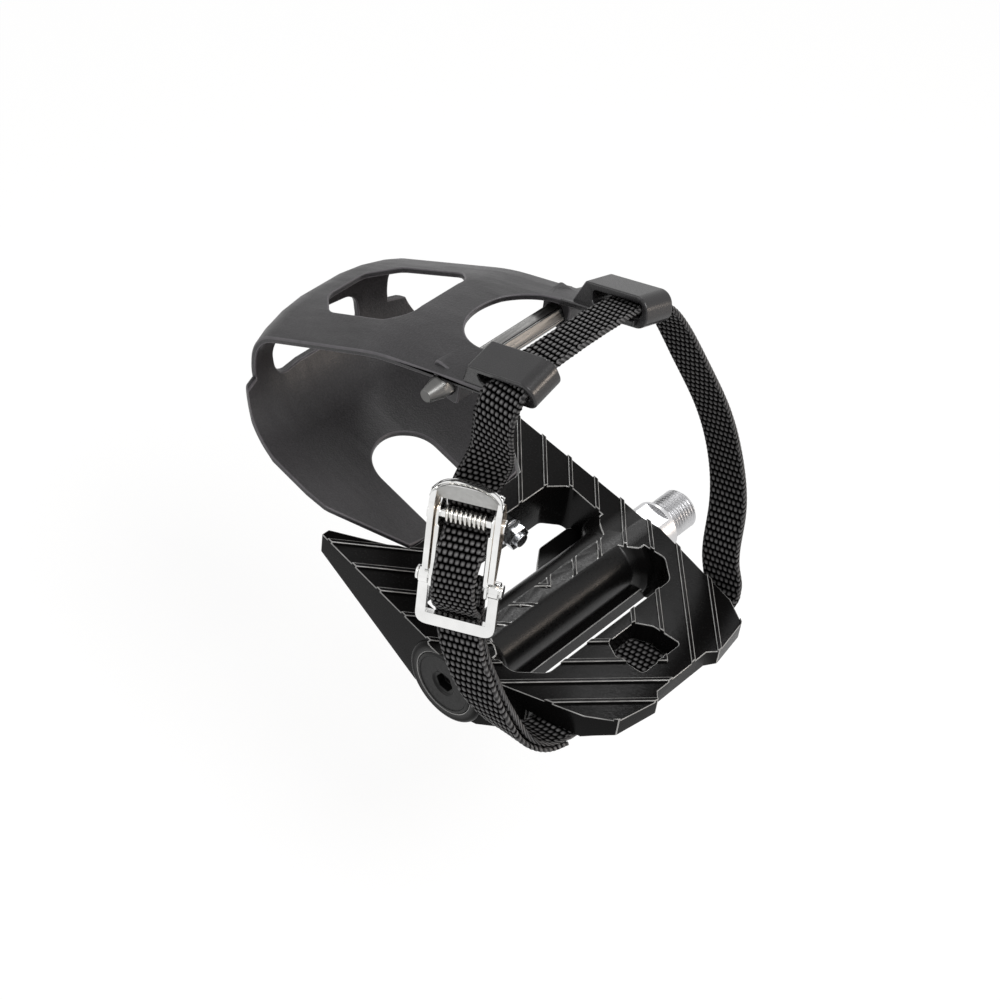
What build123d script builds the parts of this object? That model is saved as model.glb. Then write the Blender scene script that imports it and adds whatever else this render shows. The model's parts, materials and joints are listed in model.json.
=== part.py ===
"""Toe clip pedal, left side. Millimetres. X is forward, Y outboard along the spindle, Z up.

The origin is on the spindle axis, at the shoulder that seats against the crank.
"""

import os
from math import atan, cos, pi, radians, sin, sqrt, tan

from build123d import *

os.makedirs("parts", exist_ok=True)

# Crank end of the spindle
thread_radius = 7.14
thread_length = 13.0
thread_pitch = 1.27
thread_depth = 0.72
shoulder_radius = 9.0
shoulder_length = 9.2
wrench_flats = 15.0
key_socket = 6.0

# Body
crank_gap = 11.8
half_width = 44.0
front_reach = 59.5
rear_reach = 58.0
dish_height = 11.6
dish_angle = 7.0
plate_width = 8.0
end_depth = 8.8
belly_drop = 10.6
barrel_radius = 11.4
saddle_half = 14.5
boss_radius = 15.0
boss_proud = 3.2
bridge_front = front_reach - 21.5
bridge_rear = bridge_front - 9.0
window_rear = 26.0
rib_pitch = 12.2
rib_width = 1.5
rib_height = 0.9

# Bearings
journal_radius = 7.6
race_bore = 5.0
race_outer = 9.4
ball_radius = 1.3
ball_count = 9
running_fit = 0.06
nut_thread_radius = 3.5

# Dust cap
cap_radius = 11.3
cap_face = 2.8
cap_plug = 4.4
cap_socket = 6.0

# Toe clip
clip_wall = 2.2
clip_front = 112.5
clip_rear = -5.0
floor_height = 13.2
floor_slope = 0.19
crown_height = 116.4
crown_slope = 0.36
crown_break = 58.0
brow_slope = 0.56
crown_step = 8.0
crown_taper = 7.0
band_half = 30.0
toe_radius = 26.0
brow_radius = 20.0
slot_half = 12.4
fit_gap = 0.4

# Strap guides on the clip's arms
guide_x = 5.6
guide_offset = 24.0
guide_length = 24.5
guide_width = 11.6
guide_rise = 7.2
guide_seat = -2.4
guide_skin = 2.2

# Strap and buckle
strap_width = 14.5
strap_thick = 1.6
strap_line = -37.0
strap_bed = 6.8
layer_gap = 0.6
buckle_foot = (-0.6, 46.0, 29.0)
buckle_across = (-0.8912, -0.4498, 0.0554)
buckle_facing = (-0.431, 0.8785, 0.203)
frame_inner = 8.0
frame_wall = 1.2
pin_radius = 1.5
lever_pin_height = 38.0
loop_pin_height = 15.0
loop_bar = 1.6

# Clip bolts
bolt_radius = 2.5
bolt_offset = 12.5
bolt_height = 4.6

# Derived values
mid_y = crank_gap + half_width
boss_face = mid_y + half_width + boss_proud
dish_rise = tan(radians(dish_angle))
crown_rake = atan(crown_slope)


def plate_top(x):
    return dish_height + dish_rise * abs(x)


def floor_top(x):
    return floor_height + floor_slope * (x - bridge_front)


def crown_top(x):
    flat = crown_height - crown_slope * min(x, crown_break)
    return flat - brow_slope * max(x - crown_break, 0)


plan = Plane(origin=(0, mid_y, 0))
buckle = Plane(
    origin=(buckle_foot[0], mid_y + buckle_foot[1], buckle_foot[2]),
    x_dir=buckle_across,
    z_dir=buckle_facing,
)


def mirrored(half):
    return half + [(x, -v) for x, v in reversed(half)]


def across(y):
    return Plane(origin=(0, y, 0), x_dir=(1, 0, 0), z_dir=(0, 1, 0))


def facing_toe(x, z, y=mid_y):
    return Plane(origin=(x, y, z), x_dir=(0, 1, 0), z_dir=(1, 0, 0))


def profile(y, x=0, z=0):
    return Plane(origin=(x, y, z), x_dir=(1, 0, 0), z_dir=(0, -1, 0))


side = profile(mid_y)


# Spindle
bearing_y = boss_face - 21.0
bearing_width = 7.0
nut_y = bearing_y + bearing_width + 1.0
nut_width = 4.4
thread_root = thread_radius - thread_depth
turns = int((thread_length - 2.2) / thread_pitch)
crests = []
for turn in range(turns):
    start = -thread_length + 0.5 + turn * thread_pitch
    crests.append((thread_root, start))
    crests.append((thread_radius, start + 0.45 * thread_pitch))
    crests.append((thread_radius, start + 0.60 * thread_pitch))
journal_end = crank_gap + 15.0
with BuildPart() as spindle:
    with BuildSketch(Plane.XY) as spindle_half:
        with BuildLine():
            Polyline(
                (0, -thread_length),
                (thread_root - 0.3, -thread_length),
                *crests,
                (thread_root, -2.2),
                (thread_radius, -1.6),
                (thread_radius, 0),
                (shoulder_radius, 0),
                (shoulder_radius, shoulder_length - 0.8),
                (shoulder_radius - 0.8, shoulder_length),
                (journal_radius, shoulder_length),
                (journal_radius, journal_end),
                (journal_radius - 1.0, journal_end + 1.0),
                (race_bore + 0.9, bearing_y - 2.0),
                (race_bore + 0.9, bearing_y),
                (race_bore, bearing_y),
                (race_bore, nut_y - 1.0),
                (nut_thread_radius, nut_y - 1.0),
                (nut_thread_radius, nut_y + nut_width + 1.2),
                (nut_thread_radius - 0.5, nut_y + nut_width + 1.7),
                (0, nut_y + nut_width + 1.7),
                close=True,
            )
        make_face()
    revolve(axis=Axis.Y)
    with BuildSketch(Plane.XY.offset(wrench_flats / 2)):
        with Locations((0, shoulder_length / 2 + 0.6)):
            Rectangle(4 * shoulder_radius, shoulder_length - 1.2)
    extrude(amount=shoulder_radius, mode=Mode.SUBTRACT)
    with BuildSketch(Plane.XY.offset(-wrench_flats / 2)):
        with Locations((0, shoulder_length / 2 + 0.6)):
            Rectangle(4 * shoulder_radius, shoulder_length - 1.2)
    extrude(amount=-shoulder_radius, mode=Mode.SUBTRACT)
    with BuildSketch(across(-thread_length)):
        RegularPolygon(radius=key_socket / 2, side_count=6, major_radius=False)
    extrude(amount=0.55 * thread_length, mode=Mode.SUBTRACT)
spindle.part.label = "spindle"
export_step(spindle.part, "parts/spindle.step")

# Pedal body
window_half = half_width - plate_width
outline = [
    (bridge_front, 26.0),
    (front_reach, half_width - 3.0),
    (front_reach, half_width),
    (8.0, half_width + 2.0),
    (-8.0, half_width + 2.0),
    (-46.0, half_width - 8.8),
    (3.0 - rear_reach, 29.5),
    (-rear_reach, 14.8),
    (2.8 - rear_reach, 11.7),
]
window = [
    (bridge_rear, window_half - 7.0),
    (bridge_rear - 5.0, window_half),
    (8.0 - window_rear, window_half),
    (-window_rear, window_half - 7.0),
]
strap_port = [(-window_rear - 4.5, 6.0), (-window_rear - 10.0, 9.0), (11.0 - rear_reach, 9.0)]
belly = [
    (front_reach, plate_top(front_reach) - end_depth),
    (13.0, -belly_drop),
    (-13.0, -belly_drop),
    (8.0 - rear_reach, plate_top(rear_reach) - end_depth - 1.6),
    (-rear_reach, plate_top(rear_reach) - end_depth + 2.0),
]
saddle = [
    (saddle_half, window_half + 1.0),
    (saddle_half, -12.0),
    (saddle_half + 7.0, -21.0),
    (saddle_half + 7.0, -window_half - 1.0),
    (1.0 - saddle_half, -window_half - 1.0),
    (1.0 - saddle_half, window_half + 1.0),
]
bore_radius = journal_radius + 1.2
cap_seat = boss_face - cap_face
with BuildPart() as pedal_body:
    with BuildSketch(plan.offset(-2 * boss_radius)):
        with BuildLine():
            Polyline(*mirrored(outline), close=True)
        make_face()
        with BuildSketch(mode=Mode.SUBTRACT) as opening:
            with BuildLine():
                Polyline(*mirrored(window), close=True)
            make_face()
            fillet(opening.vertices(), 4.0)
        with BuildSketch(mode=Mode.SUBTRACT) as port:
            with BuildLine():
                Polyline(*mirrored(strap_port), close=True)
            make_face()
            fillet(port.vertices(), 1.5)
    extrude(amount=4 * boss_radius)
    with BuildSketch(side):
        with BuildLine():
            Polyline(
                (-rear_reach, plate_top(rear_reach)),
                (0, dish_height),
                (front_reach, plate_top(front_reach)),
                *belly,
                close=True,
            )
        make_face()
    extrude(amount=2 * half_width, both=True, mode=Mode.INTERSECT)
    # Barrel, its flared ends and the cap boss
    with BuildSketch(Plane.XY):
        with BuildLine():
            FilletPolyline(
                (0, crank_gap),
                (boss_radius, crank_gap),
                (boss_radius, crank_gap + plate_width + 2.0),
                (barrel_radius, crank_gap + plate_width + 6.0),
                (barrel_radius, boss_face - plate_width - 9.0),
                (boss_radius, boss_face - plate_width - 5.0),
                (boss_radius, boss_face),
                (0, boss_face),
                radius=1.6,
            )
            Line((0, boss_face), (0, crank_gap))
        make_face()
    revolve(axis=Axis.Y)
    # Saddle under the barrel, with a lobe at its crank end
    with BuildSketch(plan.offset(-belly_drop)) as saddle_sketch:
        with BuildLine():
            Polyline(*saddle, close=True)
        make_face()
        fillet(saddle_sketch.vertices().sort_by(Axis.X)[-4:], 3.0)
    extrude(amount=belly_drop - 4.0)
    # Everything above the dished platform comes off
    with BuildSketch(side):
        with BuildLine():
            Polyline(
                (-2 * rear_reach, plate_top(2 * rear_reach)),
                (0, dish_height),
                (2 * front_reach, plate_top(2 * front_reach)),
                (2 * front_reach, 6 * boss_radius),
                (-2 * rear_reach, 6 * boss_radius),
                close=True,
            )
        make_face()
    extrude(amount=2 * half_width, both=True, mode=Mode.SUBTRACT)
    # Channels between the chevron ribs, cut square to each half of the dish
    for sense in (1, -1):
        deck = Plane(
            origin=(0, mid_y, dish_height - rib_height),
            x_dir=(cos(radians(dish_angle)), 0, sense * sin(radians(dish_angle))),
            z_dir=(-sense * sin(radians(dish_angle)), 0, cos(radians(dish_angle))),
        )
        for hand in (1, -1):
            with BuildSketch(deck):
                for step in range(-4, 10):
                    with Locations(Location((-rib_pitch * (step + 0.5), 0, 0), hand * 45)):
                        Rectangle(6 * half_width, rib_pitch * sin(pi / 4) - rib_width)
                with Locations((sense * 3 * half_width, hand * half_width)):
                    Rectangle(6 * half_width, 2 * half_width, mode=Mode.INTERSECT)
            extrude(amount=boss_radius, mode=Mode.SUBTRACT)
    # Strap relief under the rear plates
    with BuildSketch(side):
        with Locations((strap_line, strap_bed - boss_radius)):
            Rectangle(strap_width + 3.0, 2 * boss_radius)
    extrude(amount=2 * half_width, both=True, mode=Mode.SUBTRACT)
    # Bores for the bushing, the bearing and the cap
    with BuildSketch(Plane.XY):
        with BuildLine():
            Polyline(
                (0, crank_gap - 5.0),
                (race_outer + 0.6, crank_gap - 5.0),
                (race_outer + 0.6, crank_gap + 3.0),
                (race_outer, crank_gap + 3.0),
                (race_outer, crank_gap + 15.0),
                (bore_radius - 0.4, crank_gap + 15.0),
                (bore_radius - 0.4, bearing_y - 1.0),
                (race_outer - 1.2, bearing_y - 1.0),
                (race_outer - 1.2, bearing_y),
                (race_outer, bearing_y),
                (race_outer, cap_seat - cap_plug - 1.0),
                (cap_radius - 0.9, cap_seat - cap_plug - 1.0),
                (cap_radius - 0.9, cap_seat),
                (cap_radius + 0.05, cap_seat),
                (cap_radius + 0.05, boss_face + 5.0),
                (0, boss_face + 5.0),
                close=True,
            )
        make_face()
    revolve(axis=Axis.Y, mode=Mode.SUBTRACT)
    # Bolt holes through the front bridge
    with BuildSketch(facing_toe(bridge_rear - 6.0, bolt_height)):
        with Locations((bolt_offset, 0), (-bolt_offset, 0)):
            Circle(bolt_radius + 0.25)
    extrude(amount=bridge_front, mode=Mode.SUBTRACT)
pedal_body.part.label = "pedal_body"
export_step(pedal_body.part, "parts/pedal_body.step")

# Inboard bushing
with BuildPart() as inboard_bushing:
    with BuildSketch(across(crank_gap + 3.2)):
        Circle(race_outer)
        Circle(journal_radius + running_fit, mode=Mode.SUBTRACT)
    extrude(amount=11.6)
inboard_bushing.part.label = "inboard_bushing"
export_step(inboard_bushing.part, "parts/inboard_bushing.step")

# Inboard seal
with BuildPart() as inboard_seal:
    with BuildSketch(across(crank_gap - 0.8)):
        Circle(race_outer + 0.6)
        Circle(journal_radius + running_fit, mode=Mode.SUBTRACT)
    extrude(amount=3.6)
inboard_seal.part.label = "inboard_seal"
export_step(inboard_seal.part, "parts/inboard_seal.step")

# Outboard bearing
ball_circle = (race_outer + race_bore) / 2
raceway = ball_radius + 0.12
with BuildPart() as bearing_outer:
    with BuildSketch(across(bearing_y)):
        Circle(race_outer)
        Circle(ball_circle + 0.75, mode=Mode.SUBTRACT)
    extrude(amount=bearing_width)
    with BuildSketch(Plane.XY):
        with Locations((ball_circle, bearing_y + bearing_width / 2)):
            Circle(raceway)
    revolve(axis=Axis.Y, mode=Mode.SUBTRACT)
bearing_outer.part.label = "bearing_outer"
export_step(bearing_outer.part, "parts/bearing_outer.step")

with BuildPart() as bearing_inner:
    with BuildSketch(across(bearing_y)):
        Circle(ball_circle - 0.75)
        Circle(race_bore, mode=Mode.SUBTRACT)
    extrude(amount=bearing_width)
    with BuildSketch(Plane.XY):
        with Locations((ball_circle, bearing_y + bearing_width / 2)):
            Circle(raceway)
    revolve(axis=Axis.Y, mode=Mode.SUBTRACT)
bearing_inner.part.label = "bearing_inner"
export_step(bearing_inner.part, "parts/bearing_inner.step")

with BuildPart() as ball_cage:
    with BuildSketch(across(bearing_y + bearing_width / 2 - 1.9)):
        Circle(ball_circle + 0.42)
        Circle(ball_circle - 0.42, mode=Mode.SUBTRACT)
    extrude(amount=3.8)
    with Locations(across(bearing_y + bearing_width / 2)):
        with PolarLocations(ball_circle, ball_count):
            Sphere(ball_radius)
ball_cage.part.label = "ball_cage"
export_step(ball_cage.part, "parts/ball_cage.step")

# Washer and lock nut on the spindle's outer end
with BuildPart() as bearing_washer:
    with BuildSketch(across(nut_y - 1.0)):
        Circle(ball_circle - 0.9)
        Circle(nut_thread_radius, mode=Mode.SUBTRACT)
    extrude(amount=1.0)
bearing_washer.part.label = "bearing_washer"
export_step(bearing_washer.part, "parts/bearing_washer.step")

with BuildPart() as lock_nut:
    with BuildSketch(across(nut_y)):
        RegularPolygon(radius=5.5, side_count=6, major_radius=False)
        Circle(nut_thread_radius, mode=Mode.SUBTRACT)
    extrude(amount=nut_width)
lock_nut.part.label = "lock_nut"
export_step(lock_nut.part, "parts/lock_nut.step")

# Dust cap and its ring
ring_radius = 0.42
plug_radius = cap_radius - 0.95
ring_y = cap_seat - 0.55 * cap_plug
with BuildPart() as dust_cap:
    with BuildSketch(Plane.XY):
        with BuildLine():
            Polyline(
                (0, cap_seat - 1.4),
                (plug_radius - 1.6, cap_seat - 1.4),
                (plug_radius - 1.6, cap_seat - cap_plug),
                (plug_radius, cap_seat - cap_plug),
                (plug_radius, ring_y - 0.5),
                (plug_radius - 0.8, ring_y - 0.5),
                (plug_radius - 0.8, ring_y + 0.5),
                (plug_radius, ring_y + 0.5),
                (plug_radius, cap_seat),
                (cap_radius, cap_seat),
                (cap_radius, boss_face - 0.3),
                (cap_radius - 0.6, boss_face + 0.3),
                (cap_radius - 1.3, boss_face + 0.3),
                (cap_radius - 1.5, boss_face + 0.1),
                (4.6, boss_face + 0.1),
                (4.1, boss_face - 0.5),
                (0, boss_face - 0.5),
                close=True,
            )
        make_face()
    revolve(axis=Axis.Y)
    with BuildSketch(across(boss_face - 3.4)):
        RegularPolygon(radius=cap_socket / 2, side_count=6, major_radius=False)
    extrude(amount=boss_radius, mode=Mode.SUBTRACT)
dust_cap.part.label = "dust_cap"
export_step(dust_cap.part, "parts/dust_cap.step")

with BuildPart() as cap_oring:
    with BuildSketch(Plane.XY):
        with Locations((plug_radius - 0.8 + ring_radius, ring_y)):
            Circle(ring_radius)
    revolve(axis=Axis.Y)
cap_oring.part.label = "cap_oring"
export_step(cap_oring.part, "parts/cap_oring.step")

# Toe clip
slope_stretch = sqrt(1 + crown_slope**2)
brow_stretch = sqrt(1 + brow_slope**2)
floor_stretch = sqrt(1 + floor_slope**2)
hollow_rear = clip_rear - 30.0
clip_nose = clip_front + clip_wall
split_height = floor_top(clip_front) + 16.0
# The toe's two rounds share the front wall, so a lower crown makes both smaller
toe_grip = 1 / tan(radians(45.0) + atan(floor_slope) / 2)
brow_grip = 1 / tan(radians(45.0) + atan(brow_slope) / 2)
nose_wall = crown_top(clip_nose) - floor_top(clip_nose) + clip_wall * floor_stretch
nose_room = 0.98 * nose_wall - clip_wall * (toe_grip + brow_grip)
nose_fit = min(1.0, nose_room / (toe_radius * toe_grip + brow_radius * brow_grip))
toe_round = toe_radius * nose_fit
brow_round = brow_radius * nose_fit
floor_plan = [
    (clip_front + 12.0, 25.0),
    (clip_front - 1.0, band_half),
    (clip_front - 6.5, band_half + 5.0),
    (clip_front - 13.0, band_half + 8.2),
    (front_reach + 22.5, half_width - 0.8),
    (front_reach + 9.5, half_width - 1.6),
    (front_reach + 2.4, half_width - 2.6),
    (front_reach + 0.8, half_width - 3.4),
    (bridge_front + fit_gap, 26.0 - 2 * fit_gap),
]
band_plan = [
    (clip_front + 12.0, 25.0),
    (clip_front - 1.0, band_half),
    (80.0, band_half),
    (clip_rear + 3.0, band_half),
]
eye = [
    (98.0, 8.0),
    (89.0, 16.4),
    (65.0, 16.8),
    (59.0, 12.0),
]
fork_half = 16.8
fork_end = 42.5
bar_x = 29.5
bar_z = crown_top(bar_x) - 10.4
bar_flats = 6.8
bar_seat = bar_flats / 2 + 2.0
crown_strips = [
    (0, crown_step, 0),
    (crown_step, crown_step, crown_taper),
    (2 * crown_step, crown_step, 2 * crown_taper),
    (3 * crown_step, 2.3 * crown_step, 3 * crown_taper),
]
droop = radians(2 * crown_taper)
guide_drop = crown_step * tan(radians(crown_taper)) + (guide_offset - 2 * crown_step) * tan(droop)
guide_z = crown_top(guide_x) - guide_drop * slope_stretch
guide_front = guide_length / 2
guide_back = -guide_length / 2


def front_corner(sketch, which):
    reach = max(vertex.X for vertex in sketch.vertices())
    return [v for v in sketch.vertices().sort_by(Axis.Y) if v.X > reach - 0.01][which]


def crown_corner(sketch):
    return min(sketch.vertices(), key=lambda v: abs(v.X - crown_break))


with BuildPart() as clip_blank:
    with BuildSketch(plan.offset(-2 * clip_wall)) as floor_sketch:
        with BuildLine():
            Polyline(*mirrored(floor_plan), close=True)
        make_face()
        fillet(floor_sketch.vertices().sort_by(Axis.X)[6:12], 8.0)
    extrude(amount=split_height + 2 * clip_wall)
    with BuildSketch(plan.offset(split_height)):
        with BuildLine():
            Polyline(*mirrored(band_plan), close=True)
        make_face()
    extrude(amount=crown_height)
    # Window in the top band and the fork between the arms
    with BuildSketch(plan.offset(split_height + 10.0)) as eye_sketch:
        with BuildLine():
            Polyline(*mirrored(eye), close=True)
        make_face()
        fillet(eye_sketch.vertices(), 6.0)
    extrude(amount=crown_height, mode=Mode.SUBTRACT)
    with BuildSketch(plan.offset(split_height + 10.0)):
        with Locations((fork_end - fork_half, 0)):
            Circle(fork_half)
            with Locations((-fork_half - fork_end / 2, 0)):
                Rectangle(2 * fork_half + fork_end, 2 * fork_half)
    extrude(amount=crown_height, mode=Mode.SUBTRACT)
    # U slot in the floor
    with BuildSketch(plan.offset(-2 * clip_wall)):
        with Locations((64.0, 0)):
            Circle(slot_half)
        with Locations((64.0 / 2 + bridge_front / 2, 0)):
            Rectangle(64.0 - bridge_front, 2 * slot_half)
    extrude(amount=split_height, mode=Mode.SUBTRACT)
    # Slit in the front wall
    with BuildSketch(facing_toe(clip_front - 20.0, 43.0)):
        RectangleRounded(38.0, 13.0, 5.0)
    extrude(amount=60.0, mode=Mode.SUBTRACT)

bar_axis = profile(mid_y, bar_x, bar_z)
guide_planes = []
for hand in (1, -1):
    guide_planes.append(
        Plane(
            origin=(guide_x, mid_y + hand * guide_offset, guide_z),
            x_dir=(cos(crown_rake), 0, -sin(crown_rake)),
            z_dir=(sin(crown_rake) * cos(droop), hand * sin(droop), cos(crown_rake) * cos(droop)),
        )
    )
with BuildPart() as toe_clip:
    for hand in (1, -1):
        inset = 0
        for start, reach, taper in crown_strips:
            with BuildSketch(profile(mid_y + hand * start)) as shell_sketch:
                with BuildLine():
                    Polyline(
                        (clip_rear, floor_top(clip_rear) - clip_wall * floor_stretch),
                        (clip_nose, floor_top(clip_nose) - clip_wall * floor_stretch),
                        (clip_nose, crown_top(clip_nose)),
                        (crown_break, crown_top(crown_break)),
                        (clip_rear, crown_top(clip_rear)),
                        close=True,
                    )
                make_face()
                fillet(front_corner(shell_sketch, 0), toe_round + clip_wall)
                fillet(front_corner(shell_sketch, -1), brow_round + clip_wall)
                fillet(crown_corner(shell_sketch), 90.0 + clip_wall)
                if inset > 0:
                    offset(amount=-inset, mode=Mode.REPLACE)
            extrude(amount=-hand * reach, taper=taper)
            inset += reach * tan(radians(taper))
    for hand in (1, -1):
        inset = 0
        for start, reach, taper in crown_strips:
            with BuildSketch(profile(mid_y + hand * start)) as hollow_sketch:
                with BuildLine():
                    Polyline(
                        (hollow_rear, floor_top(hollow_rear)),
                        (clip_front, floor_top(clip_front)),
                        (clip_front, crown_top(clip_front) - clip_wall * brow_stretch),
                        (crown_break, crown_top(crown_break) - clip_wall * slope_stretch),
                        (hollow_rear, crown_top(hollow_rear) - clip_wall * slope_stretch),
                        close=True,
                    )
                make_face()
                fillet(front_corner(hollow_sketch, 0), toe_round)
                fillet(front_corner(hollow_sketch, -1), brow_round)
                fillet(crown_corner(hollow_sketch), 90.0)
                if inset > 0:
                    offset(amount=-inset, mode=Mode.REPLACE)
            extrude(amount=-hand * reach, taper=taper, mode=Mode.SUBTRACT)
            inset += reach * tan(radians(taper))
    # Seats that hold the bar under the arms
    for hand in (1, -1):
        with BuildSketch(profile(mid_y + hand * guide_offset, bar_x, bar_z)):
            with Locations((0, 0.4)):
                RectangleRounded(2 * bar_seat, 2 * bar_seat + 0.8, 2.0)
        extrude(amount=3.4, both=True)
    add(clip_blank.part, mode=Mode.INTERSECT)
    with BuildSketch(bar_axis):
        RegularPolygon(radius=bar_flats / 2, side_count=6, major_radius=False)
    extrude(amount=half_width, both=True, mode=Mode.SUBTRACT)
    # Flange against the front bridge
    with BuildSketch(plan.offset(bolt_height - 7.6)):
        with Locations((bridge_front + clip_wall / 2, 0)):
            Rectangle(clip_wall, 50.0)
    extrude(amount=floor_top(bridge_front) - bolt_height + 7.4)
    with BuildSketch(facing_toe(bridge_front - 2.0, bolt_height)):
        with Locations((bolt_offset, 0), (-bolt_offset, 0)):
            Circle(bolt_radius + 0.25)
    extrude(amount=10.0, mode=Mode.SUBTRACT)
    # Strap guides
    for guide in guide_planes:
        ends = Plane(origin=guide.origin, x_dir=guide.x_dir, z_dir=-guide.y_dir)
        with BuildSketch(ends) as loop_sketch:
            with BuildLine():
                Polyline(
                    (guide_front + 5.0, -1.4),
                    (guide_front + 5.0, 0.4),
                    (guide_front, guide_rise),
                    (guide_back, guide_rise),
                    (guide_back, -clip_wall - 0.6),
                    (0, -clip_wall - 0.6),
                    close=True,
                )
            make_face()
            rear = [v for v in loop_sketch.vertices() if abs(ends.to_local_coords(v).X - guide_back) < 0.01]
            fillet(rear, 0.45 * guide_rise + 1.0)
        extrude(amount=guide_width / 2, both=True)
    for guide in guide_planes:
        ends = Plane(origin=guide.origin, x_dir=guide.x_dir, z_dir=-guide.y_dir)
        with BuildSketch(ends):
            with Locations((guide_skin / 2 - 1.4, (guide_rise - guide_skin + 0.9) / 2)):
                RectangleRounded(guide_length - guide_skin - 2.8, guide_rise - guide_skin - 0.9, 1.4)
        extrude(amount=1.5 * guide_width, both=True, mode=Mode.SUBTRACT)
toe_clip.part.label = "toe_clip"
export_step(toe_clip.part, "parts/toe_clip.step")

# Spreader bar
bar_half = 36.0
with BuildPart() as spreader_bar:
    with BuildSketch(bar_axis):
        RegularPolygon(radius=bar_flats / 2, side_count=6, major_radius=False)
    extrude(amount=bar_half, both=True)
    with BuildSketch(Plane(origin=(bar_x, mid_y, bar_z))):
        with BuildLine():
            Polyline(
                (0, -bar_half),
                (2.0, -bar_half),
                (bar_flats / 2 + 0.6, 7.5 - bar_half),
                (bar_flats / 2 + 0.6, bar_half - 7.5),
                (2.0, bar_half),
                (0, bar_half),
                close=True,
            )
        make_face()
    revolve(axis=Axis((bar_x, mid_y, bar_z), (0, 1, 0)), mode=Mode.INTERSECT)
spreader_bar.part.label = "spreader_bar"
export_step(spreader_bar.part, "parts/spreader_bar.step")

# Clip bolts, washers and nuts
head_x = bridge_front + clip_wall
washer_thick = 1.0
nut_thick = 4.2
for name, hand in (("out", 1), ("in", -1)):
    bolt_line = facing_toe(0, bolt_height, mid_y + hand * bolt_offset)
    with BuildPart() as clip_bolt:
        with BuildSketch(bolt_line.offset(head_x)):
            Circle(4.5)
        extrude(amount=3.0)
        fillet(clip_bolt.edges().sort_by(Axis.X)[-1], 1.2)
        with BuildSketch(bolt_line.offset(bridge_rear - washer_thick - nut_thick - 1.4)):
            Circle(bolt_radius)
        extrude(amount=head_x - bridge_rear + washer_thick + nut_thick + 1.4)
        with BuildSketch(bolt_line.offset(head_x + 1.2)):
            RegularPolygon(radius=2.0, side_count=6, major_radius=False)
        extrude(amount=5.0, mode=Mode.SUBTRACT)
    clip_bolt.part.label = "clip_bolt_" + name
    export_step(clip_bolt.part, "parts/clip_bolt_" + name + ".step")
    with BuildPart() as clip_washer:
        with BuildSketch(bolt_line.offset(bridge_rear - washer_thick)):
            Circle(4.9)
            Circle(bolt_radius, mode=Mode.SUBTRACT)
        extrude(amount=washer_thick)
    clip_washer.part.label = "clip_washer_" + name
    export_step(clip_washer.part, "parts/clip_washer_" + name + ".step")
    with BuildPart() as clip_nut:
        with BuildSketch(bolt_line.offset(bridge_rear - washer_thick - nut_thick)):
            RegularPolygon(radius=4.0, side_count=6, major_radius=False)
            Circle(bolt_radius, mode=Mode.SUBTRACT)
        extrude(amount=nut_thick)
    clip_nut.part.label = "clip_nut_" + name
    export_step(clip_nut.part, "parts/clip_nut_" + name + ".step")


# Strap. Each station is a point on the webbing's middle and the way its outer face looks.
def place(x, v, z):
    return Vector(x, mid_y + v, z)


def on_buckle(b, c, facing=(0, 0, 1), a=0):
    turned = buckle.x_dir * facing[0] + buckle.y_dir * facing[1] + buckle.z_dir * facing[2]
    return buckle.from_local_coords(Vector(a, b, c)), turned


def in_guide(hand, reach, lift):
    guide = guide_planes[0 if hand > 0 else 1]
    inward = guide.y_dir if guide.y_dir.Y * hand > 0 else guide.y_dir * -1
    seat = guide.origin + guide.x_dir * guide_seat
    return seat + inward * reach + guide.z_dir * lift, guide.z_dir


def raised(stations, lift, growth):
    lifted = []
    for index, (point, facing) in enumerate(stations):
        lifted.append((point + facing.normalized() * (lift + growth * index), facing))
    return lifted


def evened(stations, count):
    """Stations at even steps on a smooth run, each facing made square to the run."""
    with BuildLine() as run:
        Spline(*[point for point, facing in stations])
    marks = [0.0]
    for (one, _), (two, _) in zip(stations, stations[1:]):
        marks.append(marks[-1] + (two - one).length)
    path = run.edge()
    even = []
    for step in range(count):
        share = step / (count - 1)
        index = max(i for i in range(len(marks) - 1) if marks[i] <= share * marks[-1] + 1e-6)
        blend = (share * marks[-1] - marks[index]) / (marks[index + 1] - marks[index])
        here = stations[index][1].normalized() * (1 - blend)
        facing = here + stations[index + 1][1].normalized() * blend
        heading = path.tangent_at(share)
        square = (facing - heading * facing.dot(heading)).normalized()
        even.append((path.position_at(share), square))
    return even


side_edge = half_width - 5.2
past_boss = half_width + boss_proud + 0.1
under = strap_bed - strap_thick / 2 - 0.6
lift = 0.5 * (guide_rise - guide_skin) + 0.4
wrap = pin_radius + 0.3 + strap_thick / 2
back_run = -(pin_radius + 1.4 + 0.7 + strap_thick / 2)
pin_b = loop_pin_height
lower_run = [
    on_buckle(3.0, -5.6),
    on_buckle(-3.2, -5.0, a=0.7),
    on_buckle(-7.4, -3.3, a=2.4),
    on_buckle(-10.9, -1.2, a=4.7),
    (place(-15.0, past_boss, 13.8), Vector(-0.1, 1, 0.26)),
    (place(-22.5, past_boss, 10.0), Vector(0, 1, -0.1)),
    (place(-29.0, half_width + 2.2, 7.2), Vector(0, 0.9, -0.45)),
    (place(-33.4, half_width, 5.2), Vector(0, 0.6, -0.8)),
    (place(strap_line + 1.2, half_width - 3.4, under - 0.1), Vector(0, 0.2, -1)),
    (place(strap_line, half_width - 8.0, under), Vector(0, 0, -1)),
]
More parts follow.
